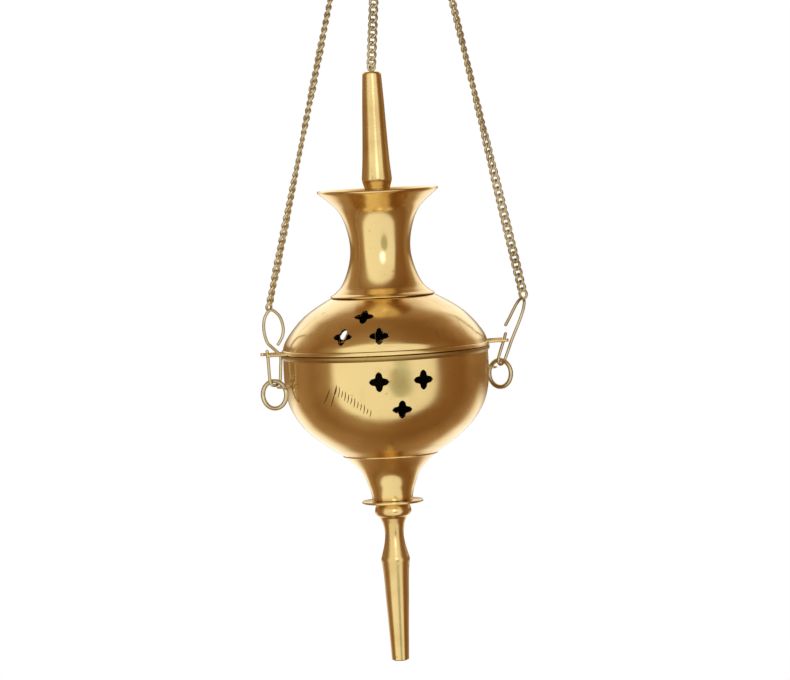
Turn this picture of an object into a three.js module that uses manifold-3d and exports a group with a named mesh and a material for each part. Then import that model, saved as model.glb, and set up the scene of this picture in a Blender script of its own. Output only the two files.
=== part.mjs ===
// Hanging brass thurible: a pierced bowl with a lifting lid, hung by two side chains from a crown plate.
// A third chain runs from the lid through the crown to a pull ring. Millimetres, +Z up.
// The origin is the hang point, the inside top of the hanging ring. The eyelets lie on the X axis.
import * as THREE from "three";
import { mergeVertices } from "three/addons/utils/BufferGeometryUtils.js";
import Module from "manifold-3d";

const wasm = await Module();
wasm.setup();

// Driving dimensions.
const GAP = 0.3; // play between touching pieces
const ROUND_STEPS = 28; // sides of the large turned pieces
const SMALL_STEPS = 14; // sides of the small turned pieces

const HANG_RING = { radius: 10.6, wire: 1.4 };
const EYE = { radius: 3, wire: 0.9, shank: 1.4, head: 2.5 };
const CROWN = { z: -26, thick: 1.6, radius: 10.4, centreY: 5, hole: 1.5, holeX: 6.35 };
const SLOT = { fromY: 4.4, toY: 12.7, chainY: 10, halfWidth: 2.6 };
const LINK = { radius: 2.3, wire: 0.6, x: 8.42 };
const PULL_RING = { radius: 6, wire: 0.9, pivotZ: -22.3, layBack: 70 };

const BODY_AT = new THREE.Vector3(-0.8, 0, -269.9); // centre of the parting plane of bowl and lid
const BODY_LEAN = THREE.MathUtils.degToRad(-2.92); // the bowl hangs a little askew
const WALL = 1.2; // thickness of the spun brass
const RIM = { radius: 46.1, bowlTop: -0.1, bowlUnder: -1.9, lidUnder: 0.2, lidTop: 1.8 };

const EAR = { reach: 55.3, slot: 4.2, arm: 2, slotFrom: 45.6 };
const LUG = { hole: 2, outer: 3.3, thick: 1, shank: 1.1, head: 2.1 };
const LUG_AT = {
  left: { azimuth: 184.2, radius: 47.6, z: -13.4 },
  right: { azimuth: 5, radius: 49.2, z: -11.2 },
};

const CHAIN_RADIUS = 2.1; // outside of the twisted links
const HOOK_WIRE = 0.7;
const RING = { radius: 6, wire: 1 };

const CROSS = { reach: 4.5, bay: 2 }; // a pierced four-lobed opening
const NECK_FOOT = 22.4; // where the neck sits on the dome
const DOME_HOLE = 15;
const STUD = { radius: 1.6, hole: 2 };

// Finishes.
const BRASS = { color: 0xc79a4b, roughness: 0.24, metalness: 1 };
const DARK_BRASS = { color: 0x8a6226, roughness: 0.4, metalness: 1 };
const PALE_BRASS = { color: 0xb7a878, roughness: 0.36, metalness: 1 };
const IRON = { color: 0x4a4540, roughness: 0.7, metalness: 0.8 };

const thurible = new THREE.Group();
const body = new THREE.Group();
body.position.copy(BODY_AT);
body.rotation.y = BODY_LEAN;
thurible.add(body);
thurible.updateMatrixWorld(true);

// A named sub-part in its own finish.
function addPart(parent, name, geometry, finish) {
  const mesh = new THREE.Mesh(geometry, new THREE.MeshStandardMaterial(finish));
  mesh.name = name;
  parent.add(mesh);
  return mesh;
}

// A geometry as a solid for joining and cutting.
function toSolid(geometry) {
  const bare = new THREE.BufferGeometry();
  bare.setAttribute("position", geometry.getAttribute("position"));
  bare.setIndex(geometry.index);
  const merged = mergeVertices(bare, 1e-4);
  return new wasm.Manifold(
    new wasm.Mesh({
      numProp: 3,
      vertProperties: merged.getAttribute("position").array,
      triVerts: new Uint32Array(merged.index.array),
    }),
  );
}

// The solid back as a geometry.
function toGeometry(solid) {
  const mesh = solid.getMesh();
  const geometry = new THREE.BufferGeometry();
  geometry.setAttribute("position", new THREE.BufferAttribute(mesh.vertProperties, 3));
  geometry.setIndex(new THREE.BufferAttribute(mesh.triVerts, 1));
  return geometry;
}

const joined = (...geometries) => toGeometry(geometries.map(toSolid).reduce((a, b) => a.add(b)));

function cut(geometry, cutters) {
  return toGeometry(cutters.map(toSolid).reduce((a, b) => a.subtract(b), toSolid(geometry)));
}

// A profile of [radius, height] points, from the lowest up, turned about the Z axis.
function turned(profile, steps = SMALL_STEPS) {
  const points = profile.map(([r, z]) => new THREE.Vector2(r, z));
  return new THREE.LatheGeometry(points, steps).rotateX(Math.PI / 2);
}

// A solid turned piece: its outline from the lowest to the highest point, closed on the axis.
function turnedSolid(outline, steps = SMALL_STEPS) {
  const low = outline[0][1];
  const high = outline[outline.length - 1][1];
  return turned([[0, low], ...outline, [0, high]], steps);
}

// A smooth outline through a few points.
function smooth(points, count) {
  const curve = new THREE.SplineCurve(points.map(([r, z]) => new THREE.Vector2(r, z)));
  return curve.getSpacedPoints(count).map((p) => [p.x, p.y]);
}

// A rod between two heights on the Z axis.
function rod(radius, fromZ, toZ, steps = SMALL_STEPS) {
  const shape = new THREE.CylinderGeometry(radius, radius, toZ - fromZ, steps);
  return shape.rotateX(Math.PI / 2).translate(0, 0, (fromZ + toZ) / 2);
}

// A ring of round wire that stands upright, facing along Y.
function wireRing(radius, wire, steps = 22) {
  return new THREE.TorusGeometry(radius, wire, 6, steps).rotateX(Math.PI / 2);
}

// A round wire along a list of points.
function wireAlong(points, radius, steps) {
  const section = new THREE.Shape();
  section.absarc(0, 0, radius, 0, 2 * Math.PI);
  const curve = new THREE.CatmullRomCurve3(points.map((p) => new THREE.Vector3(...p)));
  return new THREE.ExtrudeGeometry(section, { steps, curveSegments: 3, extrudePath: curve });
}

// A chain under tension, as one straight tube.
function tautChain(from, to) {
  const section = new THREE.Shape();
  section.absarc(0, 0, CHAIN_RADIUS, 0, 2 * Math.PI);
  const line = new THREE.LineCurve3(from, to);
  return new THREE.ExtrudeGeometry(section, { steps: 24, curveSegments: 4, extrudePath: line });
}

// ---- Crown: hanging ring, eye, plate and its two jump rings ----

function hangingRing() {
  const inside = HANG_RING.radius - HANG_RING.wire;
  return wireRing(HANG_RING.radius, HANG_RING.wire).translate(0, 0, -inside);
}

const ringBottom = -(HANG_RING.radius - HANG_RING.wire) - HANG_RING.radius;
const plateTop = CROWN.z + CROWN.thick / 2;
const plateUnder = CROWN.z - CROWN.thick / 2;

function crownEye() {
  const centre = ringBottom + HANG_RING.wire + GAP - (EYE.radius - EYE.wire);
  const loop = wireRing(EYE.radius, EYE.wire, 16).rotateZ(Math.PI / 2).translate(0, 0, centre);
  const shoulder = rod(EYE.head, plateTop + GAP, plateTop + GAP + 0.9);
  const shank = rod(EYE.shank, plateUnder - GAP - 0.6, plateTop + GAP + 0.5);
  const head = rod(EYE.head, plateUnder - GAP - 1, plateUnder - GAP);
  return joined(loop, shoulder, shank, head);
}

function crownPlate() {
  const outline = new THREE.Shape();
  outline.absarc(0, CROWN.centreY, CROWN.radius, 0, 2 * Math.PI);
  outline.holes.push(roundHole(0, 0, EYE.shank + GAP));
  outline.holes.push(roundHole(CROWN.holeX, 0, CROWN.hole));
  outline.holes.push(roundHole(-CROWN.holeX, 0, CROWN.hole));
  outline.holes.push(lidChainSlot());
  const flat = { depth: CROWN.thick, curveSegments: 8, bevelEnabled: false };
  return new THREE.ExtrudeGeometry(outline, flat).translate(0, 0, plateUnder);
}

function roundHole(x, y, radius) {
  const hole = new THREE.Path();
  hole.absarc(x, y, radius, 0, 2 * Math.PI, true);
  return hole;
}

function lidChainSlot() {
  const half = SLOT.halfWidth;
  const hole = new THREE.Path();
  hole.absarc(0, SLOT.toY - half, half, Math.PI, 0, true);
  hole.absarc(0, SLOT.fromY + half, half, 0, Math.PI, true);
  return hole;
}

function crownLink(side) {
  const top = plateTop + GAP + LINK.wire;
  return wireRing(LINK.radius, LINK.wire, 14).translate(side * LINK.x, 0, top - LINK.radius);
}

addPart(thurible, "hanging_ring", hangingRing(), BRASS);
addPart(thurible, "crown_eye", crownEye(), BRASS);
addPart(thurible, "crown_plate", crownPlate(), BRASS);
addPart(thurible, "left_crown_link", crownLink(-1), PALE_BRASS);
addPart(thurible, "right_crown_link", crownLink(1), PALE_BRASS);

// ---- Side chains, hooks and rings ----

// One S-hook of wire. Its route is [across, up] from the bottom of its lower bend.
const LEFT_HOOK = {
  at: [-51, 0, -285.1],
  yaw: 15,
  lean: 0,
  route: [
    [1.8, 18.1], [3.9, 21.6], [4.3, 25.6], [2.4, 30.5], [-1.8, 33.3], [-4.8, 30], [-5.3, 24.7],
    [-3.8, 19.4], [-1.2, 16.8], [1.8, 14.3], [3.1, 12.2], [3.0, 7.1], [2.9, 3.1], [1.8, 0.8],
    [0, 0], [-1.8, 0.8], [-2.4, 3.1], [-2.8, 7.1], [-3.2, 11.5], [-3.7, 15.2],
  ],
};
const RIGHT_HOOK = {
  at: [52, 0, -277.2],
  yaw: 38,
  lean: 18.5,
  route: [
    [-5.2, 17.3], [-4.2, 20.6], [-3.2, 24.6], [-2, 28.4], [0, 30.9], [2.6, 30.4], [3.9, 27.3],
    [4, 23.6], [3.7, 19.3], [3.1, 14.9], [2.7, 11], [2.6, 7.1], [2.3, 2.8], [1.5, 0.7], [0, 0],
    [-1.8, 0.8], [-2.7, 2.9], [-2.9, 7.2], [-3, 10.9], [-3.2, 13.7],
  ],
};

function hookGeometry({ at, yaw, lean, route }) {
  const wire = wireAlong(route.map(([u, v]) => [u, 0, v]), HOOK_WIRE, 44);
  wire.rotateZ(THREE.MathUtils.degToRad(yaw));
  wire.rotateY(THREE.MathUtils.degToRad(lean));
  return wire.translate(...at);
}

// A loose ring that hangs in the hook's lower bend and passes through the eyelet of the bowl.
function looseRing(hook, yaw) {
  const top = hook.at[2] + HOOK_WIRE + GAP + RING.wire;
  const ring = wireRing(RING.radius, RING.wire).rotateZ(THREE.MathUtils.degToRad(yaw));
  return ring.translate(hook.at[0], 0, top - RING.radius);
}

const SIDE_CHAINS = {
  left: [new THREE.Vector3(-8, 0, -30.2), new THREE.Vector3(-53.4, 0, -250.1)],
  right: [new THREE.Vector3(8, 0, -30.2), new THREE.Vector3(62.7, 0, -246.1)],
};

addPart(thurible, "left_chain", tautChain(...SIDE_CHAINS.left), PALE_BRASS);
addPart(thurible, "right_chain", tautChain(...SIDE_CHAINS.right), PALE_BRASS);
addPart(thurible, "left_hook", hookGeometry(LEFT_HOOK), PALE_BRASS);
addPart(thurible, "right_hook", hookGeometry(RIGHT_HOOK), PALE_BRASS);
addPart(thurible, "left_ring", looseRing(LEFT_HOOK, -45), PALE_BRASS);
addPart(thurible, "right_ring", looseRing(RIGHT_HOOK, -53), PALE_BRASS);

// ---- Bowl ----

const BOWL_OUTLINE = [
  [8.9, -66.4], [10.3, -60.5], [13, -53.8], [19.6, -47], [26.3, -42.4], [32.4, -37.8],
  [37.4, -33], [41.2, -27.6], [43.7, -22], [45, -15.4], [45.3, -8], [45.2, RIM.bowlUnder],
];
const BOWL_FLOOR = -52; // the flat seat of the nut inside the stem

function bowlShell() {
  const outside = smooth(BOWL_OUTLINE, 12);
  const inside = outside.filter(([r, z]) => z > -50 && r > 14).map(([r, z]) => [r - WALL, z + 0.25]);
  const rim = [[RIM.radius, RIM.bowlUnder], [RIM.radius, RIM.bowlTop], [44, RIM.bowlTop]];
  const hollow = [...inside.reverse(), [9, BOWL_FLOOR], [STUD.hole, BOWL_FLOOR], [STUD.hole, -66.4]];
  return turned([[STUD.hole, -66.4], ...outside, ...rim, ...hollow], ROUND_STEPS);
}

// A four-lobed piercing as a rod that runs outwards from the axis.
function piercing(azimuth, z) {
  const corners = [0, 1, 2, 3, 4, 5, 6, 7].map((i) => {
    const reach = i % 2 === 0 ? CROSS.reach : CROSS.bay;
    return new THREE.Vector2(reach, 0).rotateAround(new THREE.Vector2(), (i * Math.PI) / 4);
  });
  const shape = new THREE.Shape(corners);
  const punch = new THREE.ExtrudeGeometry(shape, { depth: 30, bevelEnabled: false });
  punch.rotateX(Math.PI / 2).rotateZ(Math.PI / 2).translate(22, 0, z);
  return punch.rotateZ(THREE.MathUtils.degToRad(azimuth));
}

// Where each group of three piercings stands, and how far it is raised from the front group's height.
const BOWL_PIERCINGS = [
  { azimuth: -96.6, rise: 0 },
  { azimuth: 29, rise: 0 },
  { azimuth: 150, rise: 0 },
];
const DOME_PIERCINGS = [
  { azimuth: -119.2, rise: 0 },
  { azimuth: 1.2, rise: 0 },
  { azimuth: 112, rise: -1.6 },
];

// Three groups of three piercings around a shell: a pair at one height, a single one between them.
function piercingGroups(groups, spread, pairZ, singleZ) {
  return groups.flatMap(({ azimuth, rise }) => [
    piercing(azimuth - spread, pairZ + rise),
    piercing(azimuth + spread, pairZ + rise),
    piercing(azimuth, singleZ + rise),
  ]);
}

// A radial bore for an eyelet's shank.
function lugBore({ azimuth, z }) {
  const bore = rod(LUG.shank + GAP, 40, 50, 12).rotateY(Math.PI / 2).translate(0, 0, z);
  return bore.rotateZ(THREE.MathUtils.degToRad(azimuth));
}

function bowl() {
  const bores = Object.values(LUG_AT).map(lugBore);
  return cut(bowlShell(), [...piercingGroups(BOWL_PIERCINGS, 12.4, -11.3, -23.5), ...bores]);
}

// An eyelet: a flat loop outside the bowl, a shank through the wall and a riveted head inside.
function eyelet({ azimuth, radius, z }) {
  const loop = new THREE.Shape();
  loop.absarc(radius, 0, LUG.outer, 0, 2 * Math.PI);
  const hole = new THREE.Path();
  hole.absarc(radius, 0, LUG.hole, 0, 2 * Math.PI, true);
  loop.holes.push(hole);
  const wall = 45.25;
  const plate = new THREE.ExtrudeGeometry(loop, { depth: LUG.thick, bevelEnabled: false, curveSegments: 6 });
  plate.translate(0, 0, -LUG.thick / 2);
  const trimmed = toSolid(plate).subtract(toSolid(rod(wall + GAP, -3, 3, 40)));
  const shank = rod(LUG.shank, wall - WALL - 1, wall + GAP + 0.45, 12).rotateY(Math.PI / 2);
  const head = rod(LUG.head, wall - WALL - GAP - 1.3, wall - WALL - GAP - 0.5, 12).rotateY(Math.PI / 2);
  const whole = trimmed.add(toSolid(shank)).add(toSolid(head));
  const placed = toGeometry(whole).translate(0, 0, z);
  return placed.rotateZ(THREE.MathUtils.degToRad(azimuth));
}

addPart(body, "bowl", bowl(), BRASS);
addPart(body, "left_eyelet", eyelet(LUG_AT.left), PALE_BRASS);
addPart(body, "right_eyelet", eyelet(LUG_AT.right), PALE_BRASS);

// ---- Under the bowl: collar, finial and the stud that holds them ----

const COLLAR = { radius: 13.5, top: -66.7, under: -67.8 };
const TIP_OUTLINE = [
  [3.8, -138], [4.4, -123.6], [5, -112], [5.5, -101], [6, -95.5], [6.3, -92.8], [5.6, -90],
  [4.6, -86], [4.1, -81.6], [4.7, -77.6], [5.9, -74.6],
];

function collarDisc() {
  const { radius, top, under } = COLLAR;
  const hole = STUD.hole;
  return turned([[hole, under], [radius - 0.3, under], [radius, under + 0.4], [radius, top - 0.4],
    [radius - 0.3, top], [hole, top], [hole, under]], 24);
}

function bottomFinial() {
  const cushion = [[7.2, -73.4], [8, -72], [8, -70.2], [7.4, COLLAR.under - GAP]];
  const bore = [[STUD.hole, COLLAR.under - GAP], [STUD.hole, -84], [0, -84]];
  return turned([[0, -138], ...TIP_OUTLINE, ...cushion, ...bore], 16);
}

function bottomStud() {
  return turnedSolid([[STUD.radius, -83.4], [STUD.radius, BOWL_FLOOR + 4]], 12);
}

function bottomNut() {
  const nut = new THREE.CylinderGeometry(3.4, 3.4, 2.4, 6).rotateX(Math.PI / 2);
  return cut(nut.translate(0, 0, BOWL_FLOOR + GAP + 1.2), [rod(STUD.hole, -56, -44, 12)]);
}

addPart(body, "collar_disc", collarDisc(), BRASS);
addPart(body, "bottom_finial", bottomFinial(), BRASS);
addPart(body, "bottom_stud", bottomStud(), DARK_BRASS);
addPart(body, "bottom_nut", bottomNut(), DARK_BRASS);

// ---- Coal cup inside the bowl ----

function coalCup() {
  const outside = [[0, -41], [20, -41], [27, -38.4], [31.5, -33], [33, -31], [37, -31]];
  const inside = [[37, -29.8], [31.6, -29.8], [30.2, -32.4], [26, -37.2], [19.6, -39.6], [0, -39.6]];
  return turned([...outside, ...inside], ROUND_STEPS);
}

addPart(body, "coal_cup", coalCup(), IRON);

// ---- Lid: brim with ears, dome, neck and finial ----

const DOME_OUTLINE = [
  [45.2, RIM.lidTop + GAP], [44.3, 4.8], [42.2, 8.2], [39.4, 11.7], [35.4, 15.8], [30, 19.7], [22.4, 23.9],
  [DOME_HOLE, 26.8],
];
const NECK_OUTLINE = [
  [NECK_FOOT, 24.6], [20.2, 26.4], [18.2, 28.5], [16.2, 32.2], [14.4, 37.4], [13.4, 42.6],
  [13.4, 47.6], [14.3, 53], [15.9, 58.2], [18.4, 62.6], [22, 66.2], [25.9, 69.2],
];
const NECK_TOP = 70.9;
const PLATE_Z = 66.8; // the disc that closes the neck and carries the finial

function lidBrim() {
  const { radius, lidUnder, lidTop } = RIM;
  const lip = { inner: 42.4, outer: 43.5, depth: -2.6 };
  const ring = turned([[lip.inner, lip.depth], [lip.outer, lip.depth], [lip.outer, lidUnder],
    [radius, lidUnder], [radius, lidTop], [lip.inner, lidTop], [lip.inner, lip.depth]], ROUND_STEPS);
  const ears = new THREE.BoxGeometry(2 * EAR.reach, 2 * (EAR.slot + EAR.arm), lidTop - lidUnder);
  ears.translate(0, 0, (lidTop + lidUnder) / 2);
  const middle = rod(44, -1, 3, ROUND_STEPS);
  const forks = [-1, 1].map((side) => {
    const slot = new THREE.BoxGeometry(20, 2 * EAR.slot, 4);
    return toSolid(slot.translate(side * (EAR.slotFrom + 10), 0, 1));
  });
  const plate = toSolid(ears).subtract(toSolid(middle));
  return toGeometry(forks.reduce((a, b) => a.subtract(b), toSolid(ring).add(plate)));
}

// A shell of even thickness inside an outline that runs upwards.
function shell(outline, steps) {
  const inside = outline.map(([r, z], i) => {
    const [r0, z0] = outline[Math.max(i - 1, 0)];
    const [r1, z1] = outline[Math.min(i + 1, outline.length - 1)];
    const length = Math.hypot(r1 - r0, z1 - z0);
    return [r - (WALL * (z1 - z0)) / length, Math.max(z + (WALL * (r1 - r0)) / length, outline[0][1])];
  });
  return turned([...outline, ...inside.reverse(), outline[0]], steps);
}

function lidDome() {
  const dome = shell(smooth(DOME_OUTLINE, 7), ROUND_STEPS);
  return cut(dome, piercingGroups(DOME_PIERCINGS, 11.3, 8.6, 16.9));
}

function lidNeck() {
  const outside = smooth(NECK_OUTLINE, 9);
  const edge = [[26.7, NECK_TOP - 1], [26.7, NECK_TOP], [25.4, NECK_TOP]];
  const inside = outside
    .filter(([, z]) => z > 28 && z < 68)
    .map(([r, z]) => [r - WALL, z + 0.3])
    .reverse();
  const foot = [[DOME_HOLE + 1, 27.6]];
  return turned([...outside, ...edge, ...inside, ...foot, outside[0]], ROUND_STEPS);
}

// The disc lies in the mouth of the neck, on its sloping wall.
function neckPlate() {
  const hole = STUD.hole;
  return turned([[hole, PLATE_Z], [21, PLATE_Z], [22, PLATE_Z + 1.2], [hole, PLATE_Z + 1.2],
    [hole, PLATE_Z]], ROUND_STEPS);
}

const FINIAL_FOOT = PLATE_Z + 1.2 + GAP;
const FINIAL_TOP = 122.6;

function topFinial() {
  const outside = [[5.6, FINIAL_FOOT], [5.7, 72], [6.6, 74.6], [6.5, 77.2], [5.9, 84], [5.3, 96],
    [4.8, 108], [4.3, 117.6], [4, 121.8], [3.5, FINIAL_TOP]];
  const eyeBore = [[1, FINIAL_TOP], [1, FINIAL_TOP - 6], [0, FINIAL_TOP - 6]];
  const studBore = [[0, 84], [STUD.hole, 84], [STUD.hole, FINIAL_FOOT]];
  return turned([...studBore, ...outside, ...eyeBore], 16);
}

function topStud() {
  return turnedSolid([[STUD.radius, PLATE_Z - 5], [STUD.radius, 83.4]], 12);
}

function topNut() {
  const nut = new THREE.CylinderGeometry(3.4, 3.4, 2.4, 6).rotateX(Math.PI / 2);
  return cut(nut.translate(0, 0, PLATE_Z - GAP - 1.2), [rod(STUD.hole, 55, 75, 12)]);
}

const FINIAL_EYE = { radius: 1.5, wire: 0.6, z: FINIAL_TOP + 1.9 };

function finialEye() {
  const loop = wireRing(FINIAL_EYE.radius, FINIAL_EYE.wire, 12).translate(0, 0, FINIAL_EYE.z);
  return joined(loop, rod(0.65, FINIAL_TOP - 5.4, FINIAL_TOP + 0.5, 10));
}

addPart(body, "lid_brim", lidBrim(), BRASS);
addPart(body, "lid_dome", lidDome(), BRASS);
addPart(body, "lid_neck", lidNeck(), BRASS);
addPart(body, "neck_plate", neckPlate(), BRASS);
addPart(body, "top_finial", topFinial(), BRASS);
addPart(body, "top_stud", topStud(), DARK_BRASS);
addPart(body, "top_nut", topNut(), DARK_BRASS);
addPart(body, "finial_eye", finialEye(), PALE_BRASS);

// ---- Lid chain and pull ring ----

// The chain runs straight from the finial's eye through the slot of the crown plate.
const eyeCentre = body.localToWorld(new THREE.Vector3(0, 0, FINIAL_EYE.z));
const slotCentre = new THREE.Vector3(0, SLOT.chainY, CROWN.z);
const lidPull = slotCentre.clone().sub(eyeCentre).normalize();

function onLidChain(z) {
  const along = (z - eyeCentre.z) / lidPull.z;
  return eyeCentre.clone().addScaledVector(lidPull, along);
}

const CHAIN_FOOT = 2.6; // the chain starts this far above the eye's centre

// The pull ring leans back over the crown plate, hinged in the chain's last link.
function pullRing() {
  const at = onLidChain(PULL_RING.pivotZ);
  const ring = wireRing(PULL_RING.radius, PULL_RING.wire).translate(0, 0, PULL_RING.radius);
  return ring.rotateX(THREE.MathUtils.degToRad(-PULL_RING.layBack)).translate(at.x, at.y, at.z);
}

const LID_CHAIN = [onLidChain(eyeCentre.z + CHAIN_FOOT), onLidChain(PULL_RING.pivotZ - 1.7)];

addPart(thurible, "lid_chain", tautChain(...LID_CHAIN), PALE_BRASS);
addPart(thurible, "pull_ring", pullRing(), PALE_BRASS);

export default thurible;
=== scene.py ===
# The looks of a hanging brass thurible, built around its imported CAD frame.
# Lengths are in millimetres until a mesh, the camera or a cord is made from them.
# The shapes of the bowl and the lid are drawn upright about their own axis, and BODY places them.
from math import atan2, cos, hypot, pi, radians, sin

import bmesh
import bpy
from mathutils import Matrix, Vector
from mathutils.geometry import delaunay_2d_cdt


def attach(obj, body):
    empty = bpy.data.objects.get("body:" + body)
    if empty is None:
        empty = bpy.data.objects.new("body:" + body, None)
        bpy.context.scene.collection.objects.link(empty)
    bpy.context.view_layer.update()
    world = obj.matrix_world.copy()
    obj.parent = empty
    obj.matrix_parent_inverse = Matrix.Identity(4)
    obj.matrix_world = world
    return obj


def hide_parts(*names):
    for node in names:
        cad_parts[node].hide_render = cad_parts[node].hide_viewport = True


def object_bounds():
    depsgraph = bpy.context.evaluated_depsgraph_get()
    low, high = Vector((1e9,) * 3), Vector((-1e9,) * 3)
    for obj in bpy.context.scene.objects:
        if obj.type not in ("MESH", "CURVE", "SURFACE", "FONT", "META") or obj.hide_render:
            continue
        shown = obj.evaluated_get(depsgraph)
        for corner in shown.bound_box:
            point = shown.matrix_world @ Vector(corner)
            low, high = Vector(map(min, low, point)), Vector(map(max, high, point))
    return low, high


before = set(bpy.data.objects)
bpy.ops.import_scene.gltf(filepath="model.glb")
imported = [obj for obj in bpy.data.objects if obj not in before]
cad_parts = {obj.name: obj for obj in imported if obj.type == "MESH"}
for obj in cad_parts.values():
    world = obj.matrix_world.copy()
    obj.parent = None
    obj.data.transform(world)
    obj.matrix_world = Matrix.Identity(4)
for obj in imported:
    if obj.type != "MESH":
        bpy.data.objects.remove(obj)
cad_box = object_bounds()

MM = 0.001
LEAN = radians(-2.92)  # the bowl hangs a little askew
BODY = Matrix.Translation((-0.8, 0, -269.9)) @ Matrix.Rotation(LEAN, 4, "Y")
WALL = 1.2
TURN_STEPS = 180  # round the bowl and the lid
FINE_STEPS = 96  # round the finials and the cup
GAP = 0.3  # left between two pieces that hang in each other

# ---------------------------------------------------------------- camera, world and floor

CAMERA_AZIMUTH = radians(-15)
CAMERA_ELEVATION = radians(2.75)
CAMERA_DISTANCE = 1836.0
CAMERA_LENS = 189.6
SENSOR_WIDTH = 36.0
CAMERA_AIM = Vector((3.4, -0.9, -265.7))


def from_camera_side(azimuth, elevation):
    """The unit vector towards a viewer at that azimuth and elevation."""
    flat = cos(elevation)
    return Vector((sin(azimuth) * flat, -cos(azimuth) * flat, sin(elevation)))


def add_camera():
    data = bpy.data.cameras.new("camera")
    data.lens = CAMERA_LENS
    data.sensor_width = SENSOR_WIDTH
    data.clip_end = 20.0
    camera = bpy.data.objects.new("camera", data)
    back = from_camera_side(CAMERA_AZIMUTH, CAMERA_ELEVATION)
    camera.location = (CAMERA_AIM + back * CAMERA_DISTANCE) * MM
    camera.rotation_euler = (-back).to_track_quat("-Z", "Y").to_euler()
    bpy.context.scene.collection.objects.link(camera)
    bpy.context.scene.camera = camera


def ramp_node(nodes, stops, interpolation="LINEAR"):
    ramp = nodes.new("ShaderNodeValToRGB")
    ramp.color_ramp.interpolation = interpolation
    elements = ramp.color_ramp.elements
    while len(elements) < len(stops):
        elements.new(0.5)
    for element, (position, colour) in zip(elements, stops):
        element.position = position
        element.color = (*colour, 1.0)
    return ramp


BACKDROP = (1.38, 1.38, 1.36)
RIGHT_STOPS = [  # by the share of the way round to the front: 0 is behind the object, 1 in front
    (0.00, BACKDROP),
    (0.15, (1.15, 1.10, 1.00)),
    (0.23, (0.42, 0.26, 0.125)),
    (0.45, (0.23, 0.11, 0.038)),
    (0.73, (0.27, 0.14, 0.05)),
    (0.785, (0.98, 0.95, 0.80)),
    (1.00, (1.02, 1.00, 0.86)),
]
LEFT_STOPS = [
    (0.00, BACKDROP),
    (0.15, (1.15, 1.10, 1.00)),
    (0.23, (0.44, 0.28, 0.14)),
    (0.50, (0.28, 0.15, 0.06)),
    (0.70, (0.42, 0.28, 0.14)),
    (0.765, (1.08, 1.05, 0.86)),
    (1.00, (1.02, 1.00, 0.86)),
]
# A soft patch in the studio: azimuth and elevation from the camera's side, full and fading radius, colour.
PATCHES = [
    (17, -11, 10, 15, (0.50, 0.51, 0.36)),
    (7, 13, 6, 12, (2.3, 2.35, 2.4)),
]
HORIZON = (0.30, 0.175, 0.075)  # dark wall behind the object, level with it
HORIZON_EDGES = (0.26, 0.10)  # sine of the elevation at which the wall starts, and at which it is full
WALL_EDGES = (0.3, 0.5)  # the same, as the cosine of the angle from straight behind the object
PANEL_ELEVATION = -6  # the middle of the front panel
SIDE_BLEND = 0.3  # cosine within which the left and the right side run into each other


def add_world():
    """White to the eye; to a reflection, a warm front panel, brown sides and a white backdrop."""
    world = bpy.data.worlds.new("studio")
    bpy.context.scene.world = world
    world.use_nodes = True
    nodes, links = world.node_tree.nodes, world.node_tree.links
    nodes.clear()
    coordinates = nodes.new("ShaderNodeTexCoord")

    def share_towards(azimuth, elevation, low, high, clamped=True):
        """0 to 1 as the cosine of the angle between a ray and that direction goes from low to high."""
        towards = nodes.new("ShaderNodeVectorMath")
        towards.operation = "DOT_PRODUCT"
        aim = from_camera_side(CAMERA_AZIMUTH + radians(azimuth), radians(elevation))
        towards.inputs[1].default_value = aim
        links.new(coordinates.outputs["Generated"], towards.inputs[0])
        share = nodes.new("ShaderNodeMapRange")
        share.clamp = clamped
        share.inputs["From Min"].default_value = low
        share.inputs["From Max"].default_value = high
        links.new(towards.outputs["Value"], share.inputs["Value"])
        return share.outputs["Result"]

    def blend(share, first, second):
        mix = nodes.new("ShaderNodeMix")
        mix.data_type = "RGBA"
        links.new(share, mix.inputs["Factor"])
        links.new(first, mix.inputs["A"])
        if isinstance(second, tuple):
            mix.inputs["B"].default_value = (*second, 1)
        else:
            links.new(second, mix.inputs["B"])
        return mix.outputs["Result"]

    front = share_towards(0, PANEL_ELEVATION, -1, 1)
    sides = []
    for stops in (LEFT_STOPS, RIGHT_STOPS):
        ramp = ramp_node(nodes, stops)
        links.new(front, ramp.inputs["Fac"])
        sides.append(ramp.outputs["Color"])
    studio = blend(share_towards(90, 0, -SIDE_BLEND, SIDE_BLEND), *sides)
    height = nodes.new("ShaderNodeMath")
    height.operation = "ABSOLUTE"
    links.new(share_towards(0, 90, 0, 1, clamped=False), height.inputs[0])
    level = nodes.new("ShaderNodeMapRange")
    level.inputs["From Min"].default_value, level.inputs["From Max"].default_value = HORIZON_EDGES
    links.new(height.outputs[0], level.inputs["Value"])
    wall = nodes.new("ShaderNodeMath")
    wall.operation = "MULTIPLY"
    links.new(level.outputs["Result"], wall.inputs[0])
    links.new(share_towards(180, 0, *WALL_EDGES), wall.inputs[1])
    studio = blend(wall.outputs[0], studio, HORIZON)
    for azimuth, elevation, full, fade, colour in PATCHES:
        share = share_towards(azimuth, elevation, cos(radians(fade)), cos(radians(full)))
        studio = blend(share, studio, colour)
    reflected = nodes.new("ShaderNodeBackground")
    links.new(studio, reflected.inputs["Color"])
    plain = nodes.new("ShaderNodeBackground")
    plain.inputs["Color"].default_value = (1, 1, 1, 1)
    path = nodes.new("ShaderNodeLightPath")
    mix = nodes.new("ShaderNodeMixShader")
    links.new(path.outputs["Is Camera Ray"], mix.inputs[0])
    links.new(reflected.outputs[0], mix.inputs[1])
    links.new(plain.outputs[0], mix.inputs[2])
    out = nodes.new("ShaderNodeOutputWorld")
    links.new(mix.outputs[0], out.inputs["Surface"])


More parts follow.
